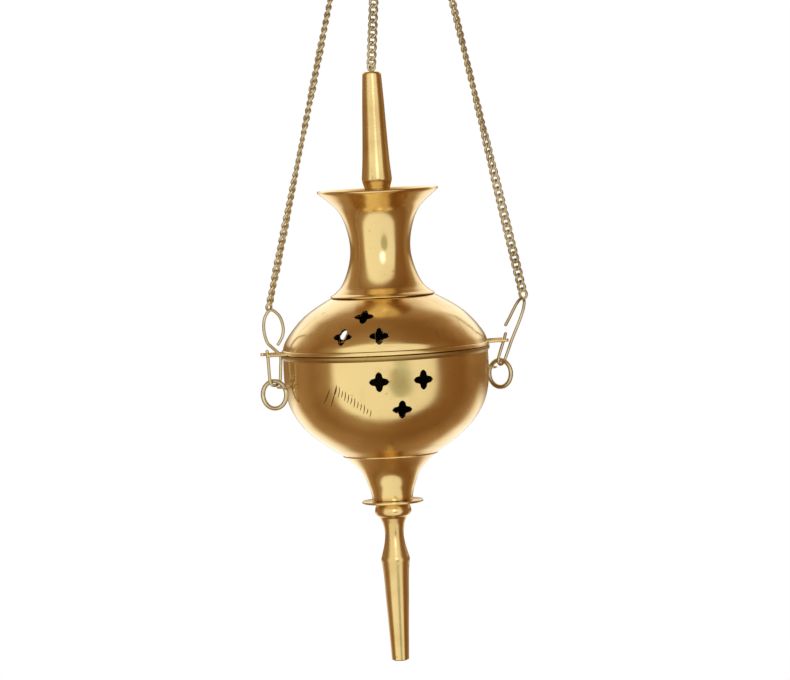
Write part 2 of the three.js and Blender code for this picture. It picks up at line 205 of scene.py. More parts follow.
FLOOR_RADIUS = 700.0
FLOOR_DROP = 200.0  # below the lowest point of the object
FLOOR_STEPS = 96
FLOOR_COLOUR = (0.84, 0.87, 0.92)


def add_floor():
    z = cad_box[0][2] - FLOOR_DROP * MM
    ring = disc_outline(0, 0, FLOOR_RADIUS, FLOOR_STEPS)
    verts = [(x * MM, y * MM, z) for x, y in ring]
    mesh = bpy.data.meshes.new("floor")
    mesh.from_pydata(verts, [], [list(range(FLOOR_STEPS))])
    floor = bpy.data.objects.new("floor", mesh)
    mesh.materials.append(plain_material("floor_paper", FLOOR_COLOUR, 0.9, 0.45))
    bpy.context.scene.collection.objects.link(floor)
    floor.visible_glossy = False  # its edge would show as a hard line in the brass


# ---------------------------------------------------------------- materials


def plain_material(name, colour, roughness, glow):
    """Matt paper with a faint mottle, which glows a little so that it stays pale."""
    material = bpy.data.materials.new(name)
    material.use_nodes = True
    nodes, links = material.node_tree.nodes, material.node_tree.links
    shader = nodes["Principled BSDF"]
    shader.inputs["Roughness"].default_value = roughness
    shader.inputs["Emission Color"].default_value = (*colour, 1)
    shader.inputs["Emission Strength"].default_value = glow
    grain = noise_node(nodes, links, 60.0, 3.0)
    dark = tuple(0.97 * c for c in colour)
    tint = ramp_node(nodes, [(0.3, dark), (0.7, colour)])
    links.new(grain, tint.inputs["Fac"])
    links.new(tint.outputs["Color"], shader.inputs["Base Color"])
    return material


def noise_node(nodes, links, scale, detail, stretch=None, distortion=0.0):
    coordinates = nodes.new("ShaderNodeTexCoord")
    noise = nodes.new("ShaderNodeTexNoise")
    noise.inputs["Scale"].default_value = scale
    noise.inputs["Detail"].default_value = detail
    noise.inputs["Distortion"].default_value = distortion
    source = coordinates.outputs["Object"]
    if stretch is not None:
        mapping = nodes.new("ShaderNodeMapping")
        mapping.inputs["Scale"].default_value = stretch
        links.new(source, mapping.inputs["Vector"])
        source = mapping.outputs["Vector"]
    links.new(source, noise.inputs["Vector"])
    return noise.outputs["Fac"]


def brass_material(name, bright, worn, tarnish_and_shade, roughness, turned=0.0, dents=0.0):
    """Polished brass: patchy tarnish, tarnish and painted shade in the hollows, smudged gloss, fine
    scratches, and turning lines across the axis.
    """
    material = bpy.data.materials.new(name)
    material.use_nodes = True
    nodes, links = material.node_tree.nodes, material.node_tree.links
    shader = nodes["Principled BSDF"]
    shader.inputs["Metallic"].default_value = 1.0

    patches = noise_node(nodes, links, 38.0, 6.0, distortion=0.6)
    colours = ramp_node(nodes, [(0.32, worn), (0.50, bright), (0.78, bright)])
    links.new(patches, colours.inputs["Fac"])
    specks = noise_node(nodes, links, 420.0, 5.0)
    speck_share = ramp_node(nodes, [(0.66, (0, 0, 0)), (0.78, (0.5, 0.5, 0.5))])
    links.new(specks, speck_share.inputs["Fac"])
    spotted = nodes.new("ShaderNodeMix")
    spotted.data_type = "RGBA"
    links.new(speck_share.outputs["Color"], spotted.inputs["Factor"])
    links.new(colours.outputs["Color"], spotted.inputs["A"])
    spotted.inputs["B"].default_value = (*tarnish_and_shade, 1)
    # Tarnish and painted shade: where pointiness is low, in creases and hollows, the colour turns to the dark
    # tarnish as if shade fell there.
    geometry = nodes.new("ShaderNodeNewGeometry")
    edge = ramp_node(nodes, [(0.42, (1, 1, 1)), (0.5, (0, 0, 0)), (0.6, (0, 0, 0))])
    links.new(geometry.outputs["Pointiness"], edge.inputs["Fac"])
    hollow_tarnish_and_shade = nodes.new("ShaderNodeMix")
    hollow_tarnish_and_shade.data_type = "RGBA"
    links.new(edge.outputs["Color"], hollow_tarnish_and_shade.inputs["Factor"])
    links.new(spotted.outputs["Result"], hollow_tarnish_and_shade.inputs["A"])
    hollow_tarnish_and_shade.inputs["B"].default_value = (*tarnish_and_shade, 1)
    links.new(hollow_tarnish_and_shade.outputs["Result"], shader.inputs["Base Color"])

    smudges = noise_node(nodes, links, 22.0, 7.0, distortion=1.2)
    gloss = nodes.new("ShaderNodeMapRange")
    gloss.inputs["From Min"].default_value = 0.35
    gloss.inputs["From Max"].default_value = 0.75
    gloss.inputs["To Min"].default_value = roughness
    gloss.inputs["To Max"].default_value = roughness + 0.14
    links.new(smudges, gloss.inputs["Value"])
    links.new(gloss.outputs["Result"], shader.inputs["Roughness"])

    scratches = noise_node(nodes, links, 240.0, 4.0, stretch=(1.0, 1.0, 9.0))
    bump = bump_node(nodes, links, scratches, 0.05, 0.00006)
    if turned:
        lines = noise_node(nodes, links, 900.0, 2.0, stretch=(0.01, 0.01, 1.0))
        bump = bump_node(nodes, links, lines, turned, 0.00005, bump)
    if dents:
        waves = noise_node(nodes, links, 55.0, 2.0)
        bump = bump_node(nodes, links, waves, dents, 0.0008, bump)
    links.new(bump, shader.inputs["Normal"])
    return material


def bump_node(nodes, links, height, strength, distance, under=None):
    bump = nodes.new("ShaderNodeBump")
    bump.inputs["Strength"].default_value = strength
    bump.inputs["Distance"].default_value = distance
    links.new(height, bump.inputs["Height"])
    if under is not None:
        links.new(under, bump.inputs["Normal"])
    return bump.outputs["Normal"]


# Colours as clean metal, worn metal and what lies in the recesses: tarnish, which in the hollows also serves
# as painted shade.
TARNISH_AND_HOLLOW_SHADE = (0.30, 0.18, 0.07)
POLISHED = ((0.84, 0.645, 0.33), (0.73, 0.52, 0.24), TARNISH_AND_HOLLOW_SHADE)
SOOTY = ((0.16, 0.10, 0.05), (0.06, 0.04, 0.02), (0.02, 0.015, 0.01))
PALE_WIRE = ((0.68, 0.60, 0.43), (0.46, 0.38, 0.24), (0.2, 0.15, 0.08))
PALE_CHAIN = ((0.64, 0.56, 0.39), (0.46, 0.38, 0.24), (0.2, 0.15, 0.08))
# Raw brass for the hidden hardware and the dome's petals. On the bowl's rim it is painted shade and a painted
# dark reflection under the brim.
RAW_AND_RIM_SHADE = ((0.5, 0.34, 0.13), (0.36, 0.23, 0.08), TARNISH_AND_HOLLOW_SHADE)
CUT = ((0.16, 0.09, 0.03), (0.10, 0.05, 0.02), TARNISH_AND_HOLLOW_SHADE)
IRON = ((0.06, 0.055, 0.05), (0.03, 0.028, 0.026), (0.02, 0.015, 0.01))


def make_materials():
    return {
        "brass": brass_material("polished_brass", *POLISHED, 0.13, 0.25, 0.05),
        "turned": brass_material("turned_brass", *POLISHED, 0.17, 0.5),
        "inside": brass_material("sooty_brass", *SOOTY, 0.5),
        "wire": brass_material("pale_wire", *PALE_WIRE, 0.26),
        "chain": brass_material("pale_chain", *PALE_CHAIN, 0.3),
        "hardware": brass_material("raw_brass_and_rim_shade", *RAW_AND_RIM_SHADE, 0.35),
        "engraving": brass_material("engraved_line", *CUT, 0.5),
        "iron": brass_material("sooty_iron", *IRON, 0.6),
    }


# ---------------------------------------------------------------- mesh helpers


def add_piece(name, verts, faces, materials, body, nodes=(), slot="brass", sharp=32.0, inner=None):
    """A named mesh that rides on a body. The faces listed in inner take the second material."""
    mesh = bpy.data.meshes.new(name)
    mesh.from_pydata([tuple(c * MM for c in v) for v in verts], [], faces)
    for material in materials if isinstance(materials, (list, tuple)) else [materials]:
        mesh.materials.append(material)
    for face in mesh.polygons:
        face.use_smooth = True
        face.material_index = 1 if inner and face.index in inner else 0
    build = bmesh.new()
    build.from_mesh(mesh)
    bmesh.ops.recalc_face_normals(build, faces=build.faces)
    build.to_mesh(mesh)
    build.free()
    mesh.set_sharp_from_angle(angle=radians(sharp))
    piece = bpy.data.objects.new(name, mesh)
    bpy.context.scene.collection.objects.link(piece)
    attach(piece, body)
    if nodes:
        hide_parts(*nodes)
    return piece


def smooth_line(points, per_span=6, closed=False):
    """A Catmull-Rom line through the points."""
    points = [Vector(p) for p in points]
    count = len(points)
    spans = count if closed else count - 1
    line = []
    for i in range(spans):
        if closed:
            p0, p1, p2, p3 = (points[(i + k) % count] for k in (-1, 0, 1, 2))
        else:
            p1, p2 = points[i], points[i + 1]
            p0 = points[i - 1] if i else 2 * p1 - p2
            p3 = points[i + 2] if i + 2 < count else 2 * p2 - p1
        for k in range(per_span):
            t = k / per_span
            line.append(
                0.5
                * (
                    2 * p1
                    + (p2 - p0) * t
                    + (2 * p0 - 5 * p1 + 4 * p2 - p3) * t * t
                    + (3 * p1 - p0 - 3 * p2 + p3) * t**3
                )
            )
    if not closed:
        line.append(points[-1])
    return line


def thickened(outline, wall=WALL):
    """The outline moved inwards by the wall."""
    inside = []
    for i, point in enumerate(outline):
        before = outline[max(i - 1, 0)]
        after = outline[min(i + 1, len(outline) - 1)]
        along = (after - before).normalized()
        inside.append(Vector((point.x - wall * along.y, point.y + wall * along.x)))
    return inside


def turn_profile(profile, placed=BODY, steps=TURN_STEPS):
    """A closed profile of (radius, height) turned about the axis. Points on the axis are single."""
    verts, rings, faces = [], [], []
    for r, z in profile:
        if r < 1e-6:
            rings.append([len(verts)] * steps)
            verts.append(placed @ Vector((0, 0, z)))
            continue
        rings.append([len(verts) + i for i in range(steps)])
        for i in range(steps):
            angle = 2 * pi * i / steps
            verts.append(placed @ Vector((r * cos(angle), r * sin(angle), z)))
    count = len(profile)
    for k in range(count):
        low, high = rings[k], rings[(k + 1) % count]
        for i in range(steps):
            j = (i + 1) % steps
            corners = [low[i], low[j], high[j], high[i]]
            face = list(dict.fromkeys(corners))
            if len(face) > 2:
                faces.append(face)
    return verts, faces


def rounded(profile, radius=0.25, steps=3):
    """A closed profile with its corners rounded."""
    out = []
    points = [Vector(p) for p in profile]
    for i, corner in enumerate(points):
        before, after = points[i - 1], points[(i + 1) % len(points)]
        if corner.x < 1e-6:
            out.append(corner)
            continue
        a = before - corner
        b = after - corner
        cut = min(radius, 0.45 * a.length, 0.45 * b.length)
        start, end = corner + a.normalized() * cut, corner + b.normalized() * cut
        for k in range(steps + 1):
            t = k / steps
            out.append((1 - t) ** 2 * start + 2 * t * (1 - t) * corner + t * t * end)
    return out


def sweep(points, radius, sides=12, closed=False):
    """A round wire along the points, with rounded ends where it is open."""
    line = [Vector(p) for p in points]
    radii = [radius] * len(line)
    if not closed:
        ahead, behind = (line[0] - line[1]).normalized(), (line[-1] - line[-2]).normalized()
        first, last = line[0], line[-1]
        caps = [(0.55, 0.83), (0.86, 0.5)]
        line = [first + ahead * radius * d for d, _ in reversed(caps)] + line
        radii = [radius * s for _, s in reversed(caps)] + radii
        line += [last + behind * radius * d for d, _ in caps]
        radii += [radius * s for _, s in caps]
    count = len(line)
    tangents = []
    for i in range(count):
        after = line[(i + 1) % count] if closed or i + 1 < count else line[i]
        before = line[i - 1] if closed or i else line[i]
        tangents.append((after - before).normalized())
    normal = tangents[0].orthogonal().normalized()
    frames = [normal]
    for i in range(1, count):
        turn = tangents[i - 1].rotation_difference(tangents[i])
        normal = (turn @ frames[-1]).normalized()
        frames.append(normal)
    twist = 0.0
    if closed:
        turn = tangents[-1].rotation_difference(tangents[0])
        back = turn @ frames[-1]
        twist = atan2(tangents[0].dot(back.cross(frames[0])), back.dot(frames[0]))
    verts, faces = [], []
    for i in range(count):
        side = tangents[i].cross(frames[i])
        for k in range(sides):
            angle = 2 * pi * k / sides + twist * i / count
            verts.append(line[i] + (frames[i] * cos(angle) + side * sin(angle)) * radii[i])
    for i in range(count if closed else count - 1):
        j = (i + 1) % count
        for k in range(sides):
            m = (k + 1) % sides
            faces.append([i * sides + k, i * sides + m, j * sides + m, j * sides + k])
    if not closed:
        faces.append(list(range(sides)))
        faces.append([(count - 1) * sides + k for k in reversed(range(sides))])
    return verts, faces


def merged(*parts):
    verts, faces = [], []
    for part_verts, part_faces in parts:
        base = len(verts)
        verts += part_verts
        faces += [[base + i for i in face] for face in part_faces]
    return verts, faces


def moved(part, matrix):
    return [matrix @ Vector(v) for v in part[0]], part[1]


def disc_outline(x, y, radius, steps):
    turns = [2 * pi * i / steps for i in range(steps)]
    return [(x + radius * cos(t), y + radius * sin(t)) for t in turns]


def circle(radius, steps):
    """A circle that stands upright, facing along Y."""
    return [Vector((x, 0, z)) for x, z in disc_outline(0, 0, radius, steps)]


def wire_ring(radius, wire, steps=48, sides=14):
    return sweep(circle(radius, steps), wire, sides, closed=True)


# ---------------------------------------------------------------- pierced shells

CROSS_REACH = 4.4
CLEAR_OF_CROSS = 1.12  # grid points nearer to a piercing than this share of its reach are left out


def cross_outline():
    """A four-lobed opening with pointed lobes, as points around its middle."""
    quarter = [(0.0, 1.0), (7.0, 0.95), (15.0, 0.88), (23.0, 0.79), (31.0, 0.67), (38.0, 0.595), (45.0, 0.57)]
    half = quarter + [(90.0 - a, s) for a, s in reversed(quarter[1:-1])]
    angles = [(a + 90.0 * turn, s) for turn in range(4) for a, s in half]
    return [(s * CROSS_REACH * cos(radians(a)), s * CROSS_REACH * sin(radians(a))) for a, s in angles]


def arc_lengths(outline):
    lengths = [0.0]
    for a, b in zip(outline, outline[1:]):
        lengths.append(lengths[-1] + (b - a).length)
    return lengths


class Shell:
    """A turned shell with a skin outside and one inside, joined at its rims and around its piercings."""

    def __init__(self, outline, wall=WALL, steps=TURN_STEPS):
        self.outer, self.inner, self.steps = outline, thickened(outline, wall), steps
        self.along = arc_lengths(outline)
        self.rows = len(outline)
        self.verts, self.faces, self.inside_faces, self.known = [], [], set(), {}

    def point(self, column, row, inside):
        """The vertex at a column and row of the grid, which may lie between its lines."""
        key = (round(column % self.steps, 4), round(row, 4), inside)
        if key not in self.known:
            low = min(int(row), self.rows - 2)
            skin = self.inner if inside else self.outer
            r, z = skin[low].lerp(skin[low + 1], row - low)
            angle = 2 * pi * column / self.steps
            self.known[key] = len(self.verts)
            self.verts.append(BODY @ Vector((r * cos(angle), r * sin(angle), z)))
        return self.known[key]

    def add_face(self, corners, inside):
        face = [self.point(column, row, inside) for column, row in corners]
        face = list(dict.fromkeys(face))
        if len(face) > 2:
            if inside:
                self.inside_faces.add(len(self.faces))
            self.faces.append(face)

    def row_at(self, distance):
        row = max(i for i in range(self.rows - 1) if self.along[i] <= distance)
        return row + (distance - self.along[row]) / (self.along[row + 1] - self.along[row])

    def hole(self, azimuth, z):
        """A piercing's outline in columns and rows."""
        nearest = min(range(self.rows), key=lambda i: abs(self.outer[i].y - z))
        r = self.outer[nearest].x
        turn = azimuth / 360.0 * self.steps
        scale = self.steps / (2 * pi * r)
        middle = self.along[nearest]
        return [(turn + u * scale, self.row_at(middle + v)) for u, v in cross_outline()]

    def build(self, holes):
        outlines = [self.hole(azimuth, z) for azimuth, z in holes]
        patches = []
        for loop in outlines:
            columns, rows = [p[0] for p in loop], [p[1] for p in loop]
            patch = (int(min(columns)) - 1, int(min(rows)) - 1, int(max(columns)) + 2, int(max(rows)) + 2)
            patches.append((patch, loop))
        taken = set()
        for (c0, r0, c1, r1), _ in patches:
            taken |= {(c % self.steps, r) for c in range(c0, c1) for r in range(r0, r1)}
        for inside in (False, True):
            for column in range(self.steps):
                for row in range(self.rows - 1):
                    if (column, row) not in taken:
                        corners = [(column, row), (column + 1, row), (column + 1, row + 1), (column, row + 1)]
                        self.add_face(corners, inside)
            for patch, loop in patches:
                self.fill_patch(patch, loop, inside)
        self.close_rims()
        for _, loop in patches:
            for a, b in zip(loop, loop[1:] + loop[:1]):
                self.faces.append(self.wall_between(a, b))
        return self.verts, self.faces, self.inside_faces

    def fill_patch(self, patch, loop, inside):
        """The skin between the edge of a patch of the grid and the piercing in it."""
        c0, r0, c1, r1 = patch
        edge = [(c, r0) for c in range(c0, c1)] + [(c1, r) for r in range(r0, r1)]
        edge += [(c, r1) for c in range(c1, c0, -1)] + [(c0, r) for r in range(r1, r0, -1)]
        middle_c = sum(p[0] for p in loop) / len(loop)
        middle_r = sum(p[1] for p in loop) / len(loop)
        scale_c = max(abs(p[0] - middle_c) for p in loop)
        scale_r = max(abs(p[1] - middle_r) for p in loop)
        spread = [
            (c, r)
            for c in range(c0 + 1, c1)
            for r in range(r0 + 1, r1)
            if hypot((c - middle_c) / scale_c, (r - middle_r) / scale_r) > CLEAR_OF_CROSS
        ]
        points = [Vector(p) for p in edge + loop + spread]
        count, cut = len(edge), len(loop)
        edges = [(i, (i + 1) % count) for i in range(count)]
        edges += [(count + i, count + (i + 1) % cut) for i in range(cut)]
        out = delaunay_2d_cdt(points, edges, [], 0, 1e-6)
        for face in out[2]:
            corners = [tuple(out[0][i]) for i in face]
            centre_c = sum(p[0] for p in corners) / len(corners)
            centre_r = sum(p[1] for p in corners) / len(corners)
            if not inside_loop(centre_c, centre_r, loop):
                self.add_face(corners, inside)

    def wall_between(self, a, b):
        """The face that joins the outer and the inner skin from one grid point to the next."""
        return [self.point(*a, False), self.point(*b, False), self.point(*b, True), self.point(*a, True)]

    def close_rims(self):
        for row in (0, self.rows - 1):
            for column in range(self.steps):
                self.faces.append(self.wall_between((column, row), (column + 1, row)))


def inside_loop(x, y, loop):
    inside = False
    for (x0, y0), (x1, y1) in zip(loop, loop[1:] + loop[:1]):
        if (y0 > y) != (y1 > y) and x < (x1 - x0) * (y - y0) / (y1 - y0) + x0:
            inside = not inside
    return inside


def piercing_groups(groups, spread, pair_z, single_z):
    """Groups of three: a pair at one height and a single one between them. A group is (azimuth, rise)."""
    holes = []
    for azimuth, rise in groups:
        holes += [(azimuth + side * spread, pair_z + rise) for side in (-1, 1)]
        holes.append((azimuth, single_z + rise))
    return holes


# ---------------------------------------------------------------- bowl, collar and bottom finial

RIM_RADIUS = 46.1
BOWL_PIERCINGS = piercing_groups([(-96.6, 0), (29, 0), (150, 0)], 12.4, -11.3, -23.5)
BOWL_RIM = [
    (44.1, -2.4), (45.25, -2.4), (RIM_RADIUS, -1.1), (RIM_RADIUS, -0.3), (45.9, -0.1), (44.1, -0.1),
]
BOWL_STEP = [(20.4, -46.6), (20.9, -46.45), (20.8, -46.0), (20.3, -46.1)]
BOWL_OUTLINE = [
    (8.9, -66.4), (9.3, -63.6), (10.3, -60.2), (13.0, -53.8), (19.6, -47.0), (26.3, -42.4), (32.4, -37.8),
    (37.4, -33.0), (41.2, -27.6), (43.7, -22.0), (45.0, -15.4), (45.3, -8.0), (45.2, -1.9),
]


def add_bowl(look):
    verts, faces, inner = Shell(smooth_line(BOWL_OUTLINE, 7)).build(BOWL_PIERCINGS)
    skins = [look["brass"], look["inside"]]
    add_piece("bowl_shell", verts, faces, skins, "bowl", ["bowl"], inner=inner)
    rim = turn_profile(rounded(BOWL_RIM, 0.3, 3))
    # Painted shade: the rim takes the darker raw brass so that the band under the brim looks like a groove in
    # shade.
    add_piece("bowl_rim", *rim, look["hardware"], "bowl")
    step = turn_profile(rounded(BOWL_STEP, 0.15, 2))
    add_piece("bowl_step", *step, look["turned"], "bowl")


COLLAR = [(2, -67.8), (13.5, -67.8), (13.5, -66.7), (2, -66.7)]
CUSHION_OUTLINE = [(6.3, -74.0), (7.6, -73.0), (8.05, -71.4), (7.7, -69.6), (6.9, -68.1)]
TIP_OUTLINE = [
    (3.8, -137.6), (4.4, -123.6), (5.0, -112.0), (5.5, -101.0), (6.0, -95.5), (6.3, -92.8), (5.6, -90.0),
    (4.6, -86.0), (4.1, -81.6), (4.7, -77.6), (5.9, -74.6),
]


def add_lower_parts(look):
    disc = turn_profile(rounded(COLLAR, 0.4, 4))
    add_piece("collar", *disc, look["turned"], "bowl", ["collar_disc"])
    tip = smooth_line(TIP_OUTLINE, 6)
    cushion = smooth_line(CUSHION_OUTLINE, 5)
    profile = [(0, -138.0), (3.4, -138.0), *tip, *cushion, (0, -68.1)]
    finial = turn_profile(profile, steps=FINE_STEPS)
    add_piece("tip_finial", *finial, look["turned"], "bowl", ["bottom_finial"], sharp=38)


# ---------------------------------------------------------------- lid

DOME_OUTLINE = [
    (45.2, 2.1), (44.3, 4.8), (42.2, 8.2), (39.4, 11.7), (35.4, 15.8), (30.0, 19.7), (22.4, 23.9),
    (15.0, 26.8),
]
NECK_LIP = [Vector((26.6, 70.1)), Vector((26.75, 70.6)), Vector((26.5, 70.95)), Vector((25.9, 70.8))]
NECK_LEDGE = [(20.6, 24.75), (22.9, 23.9), (23.1, 24.4), (21.2, 25.6)]
MOUTH_DISC = [(2.0, 66.8), (21.2, 66.8), (22.3, 68.0), (2.0, 68.0)]
NECK_OUTLINE = [
    (22.4, 24.5), (20.2, 26.4), (18.2, 28.5), (16.2, 32.2), (14.4, 37.4), (13.4, 42.6), (13.4, 47.6),
    (14.3, 53.0), (15.9, 58.2), (18.4, 62.6), (22.0, 66.2), (26.0, 69.5),
]
FINIAL_OUTLINE = [
    (5.5, 68.4), (5.6, 71.2), (6.1, 73.0), (6.6, 75.0), (6.5, 77.2), (5.95, 84.0), (5.35, 96.0),
    (4.85, 108.0), (4.35, 117.6), (4.1, 121.6),
]
DOME_PIERCINGS = piercing_groups([(-119.2, 0), (1.2, 0), (112, -1.6)], 11.3, 8.6, 16.9)


def add_dome(look):
    verts, faces, inner = Shell(smooth_line(DOME_OUTLINE, 8)).build(DOME_PIERCINGS)
    skins = [look["brass"], look["inside"]]
    add_piece("dome", verts, faces, skins, "lid", ["lid_dome"], inner=inner)


def add_neck(look):
    outside = smooth_line(NECK_OUTLINE, 7)
    inside = thickened(outside, 1.0)[6:-3]  # clear of the foot and of the lip
    profile = outside + NECK_LIP + list(reversed(inside)) + [Vector((16.2, 27.2))]
    add_piece("neck", *turn_profile(profile), look["brass"], "lid", ["lid_neck"], sharp=40)
    ledge = turn_profile(rounded(NECK_LEDGE, 0.25, 3))
    add_piece("neck_ledge", *ledge, look["turned"], "lid")


def add_mouth(look):
    plate = turn_profile(rounded(MOUTH_DISC, 0.3, 3))
    add_piece("mouth_disc", *plate, look["turned"], "lid", ["neck_plate"])
    side = smooth_line(FINIAL_OUTLINE, 6)
    profile = [(0, 68.35), *side, (3.75, 122.3), (3.2, 122.6), (0, 122.6)]
    finial = turn_profile(profile, steps=FINE_STEPS)
    add_piece("lid_finial", *finial, look["turned"], "lid", ["top_finial"], sharp=38)


BRIM = [
    (42.4, -2.6), (43.5, -2.6), (43.5, 0.2), (45.9, 0.2), (RIM_RADIUS, 0.5), (45.55, 2.0), (42.4, 2.0),
]
EAR_REACH = 55.3
EAR_SLOT = 4.2  # half the slot's width
EAR_ARM = 2.0
EAR_FROM = 45.6  # where the slot starts
EAR_ROOT = 43.8
EAR_HEIGHTS = (0.35, 1.6)


def ear_outline(side):
    """The forked ear seen from above: two arms with round ends and a slot between them."""
    half = EAR_ARM / 2
    ends = []
    for y in (EAR_SLOT + half, -EAR_SLOT - half):
        turns = [pi / 2 - pi * k / 8 for k in range(9)]
        ends.append([(EAR_REACH - half + half * cos(t), y + half * sin(t)) for t in turns])
    floor_turns = [pi / 2 + pi * k / 12 for k in range(13)]
    depth = EAR_SLOT * 0.35
    slot = [(EAR_FROM + depth + depth * cos(t), EAR_SLOT * sin(t)) for t in floor_turns]
    width = EAR_SLOT + EAR_ARM
    outline = [(EAR_ROOT, width), *ends[0], *slot, *ends[1], (EAR_ROOT, -width)]
    return [(side * x, y) for x, y in outline]


def prism(outline, low, high, edge=0.25):
    """A flat piece with softened edges from its outline."""
    layers = [(low, -edge), (low + edge, 0.0), (high - edge, 0.0), (high, -edge)]
    count = len(outline)
    verts, faces = [], []
    for z, grow in layers:
        for i, (x, y) in enumerate(outline):
            ax, ay = outline[i - 1]
            bx, by = outline[(i + 1) % count]
            normal = Vector((by - ay, ax - bx)).normalized()
            verts.append(BODY @ Vector((x + normal.x * grow, y + normal.y * grow, z)))
    for k in range(len(layers) - 1):
        for i in range(count):
            j = (i + 1) % count
            faces.append([k * count + i, k * count + j, (k + 1) * count + j, (k + 1) * count + i])
    faces.append(list(reversed(range(count))))
    faces.append([(len(layers) - 1) * count + i for i in range(count)])
    return verts, faces


def add_brim(look):
    ring = turn_profile(rounded(BRIM, 0.35, 4))
    outlines = [ear_outline(1), list(reversed(ear_outline(-1)))]
    ears = [prism(outline, *EAR_HEIGHTS) for outline in outlines]
    add_piece("brim", *merged(ring, *ears), look["turned"], "lid", ["lid_brim"], sharp=36)


LID_EYE_Z, LID_EYE_RADIUS, LID_EYE_WIRE = 124.5, 1.5, 0.6


def add_finial_eye(look):
    place = BODY @ Matrix.Translation((0, 0, LID_EYE_Z))
    loop = moved(wire_ring(LID_EYE_RADIUS, LID_EYE_WIRE, 24, 10), place)
    add_piece("lid_eye", *loop, look["wire"], "lid", ["finial_eye"], "pale_brass")


# ---------------------------------------------------------------- engraving


FACING = -105  # the side of the body that faces the camera, in degrees from +X
STROKE_LIFT = 0.05
BOWL_STROKES = 12
STROKE_WIDTH = 0.4
LONG_STROKES = [
    [(-28.5, -12.0), (-31.0, -17.0), (-34.0, -21.5)],
    [(-33.0, -13.5), (-35.5, -17.0), (-38.5, -20.0)],
]
PETAL_TIP, PETAL_FOOT, PETAL_HALF = 20.5, 6.0, 19.0
PETAL_SHIFT = 14
PETAL_WIDTH = 0.16


def surface_point(outline, azimuth, z):
    """A point just above a turned surface, at an azimuth from the side that faces the camera and a height."""
    for a, b in zip(outline, outline[1:]):
        if (a.y - z) * (b.y - z) <= 0 and a.y != b.y:
            r = a.lerp(b, (z - a.y) / (b.y - a.y)).x + STROKE_LIFT
            turn = radians(azimuth + FACING)
            return BODY @ Vector((r * cos(turn), r * sin(turn), z))
    raise ValueError(z)


def engraved_line(outline, points, width):
    """A thin tapered stroke that lies on a turned surface. Its points are (azimuth, height)."""
    line = smooth_line([Vector((a, z)) for a, z in points], 4)
    spine = [surface_point(outline, p.x, p.y) for p in line]
    centre = BODY @ Vector((0, 0, line[0].y))
    verts, faces = [], []
    for i, p in enumerate(spine):
        along = (spine[min(i + 1, len(spine) - 1)] - spine[max(i - 1, 0)]).normalized()
        across = along.cross(p - centre).normalized()
        half = width / 2 * (0.25 + 0.75 * sin(pi * (i + 0.5) / len(spine)))
        verts += [p - across * half, p + across * half]
    for i in range(len(spine) - 1):
        faces.append([2 * i, 2 * i + 1, 2 * i + 3, 2 * i + 2])
    return verts, faces


def add_engraving(look):
    bowl = smooth_line(BOWL_OUTLINE, 7)
    strokes = []
    for i in range(BOWL_STROKES):
        azimuth, z = -28.5 + 1.72 * i, -13.9 - 0.98 * i
        length = 4.0 + 0.8 * sin(2.3 * i) - 0.08 * i
        strokes.append([(azimuth, z + length / 2), (azimuth - 0.4, z), (azimuth - 1.3, z - length / 2)])
    lines = [engraved_line(bowl, points, STROKE_WIDTH) for points in strokes + LONG_STROKES]
    add_piece("bowl_engraving", *merged(*lines), look["engraving"], "bowl")
    dome = smooth_line(DOME_OUTLINE, 8)
    petals = []
    for turn in range(0, 360, 60):
        base = turn + PETAL_SHIFT
        for side in (-1, 1):
            out = side * PETAL_HALF
            petals.append([(base + out, PETAL_FOOT), (base + out * 0.95, 12.0), (base + side * 5, PETAL_TIP)])
    lines = [engraved_line(dome, points, PETAL_WIDTH) for points in petals]
    add_piece("dome_engraving", *merged(*lines), look["hardware"], "lid")


# ---------------------------------------------------------------- crown and hanging ring

CROWN_Z, CROWN_THICK, CROWN_RADIUS, CROWN_CENTRE_Y = -26.0, 1.6, 10.4, 5.0
SLOT_FROM, SLOT_TO, SLOT_HALF, SLOT_CHAIN_Y = 4.4, 12.7, 2.6, 10.0
HANG_RADIUS, HANG_WIRE = 10.6, 1.4
EYE_RADIUS, EYE_WIRE = 3.0, 0.9
LINK_RADIUS, LINK_WIRE, LINK_X = 2.3, 0.6, 8.42
CROWN_HOLES = [(0, 1.7), (6.35, 1.5), (-6.35, 1.5)]  # place and radius: the post's and the two links'


def slot_outline():
    turns = [pi * k / 12 for k in range(13)]
    top = [(SLOT_HALF * cos(t), SLOT_TO - SLOT_HALF + SLOT_HALF * sin(t)) for t in turns]
    low = [(-SLOT_HALF * cos(t), SLOT_FROM + SLOT_HALF - SLOT_HALF * sin(t)) for t in turns]
    return top + low


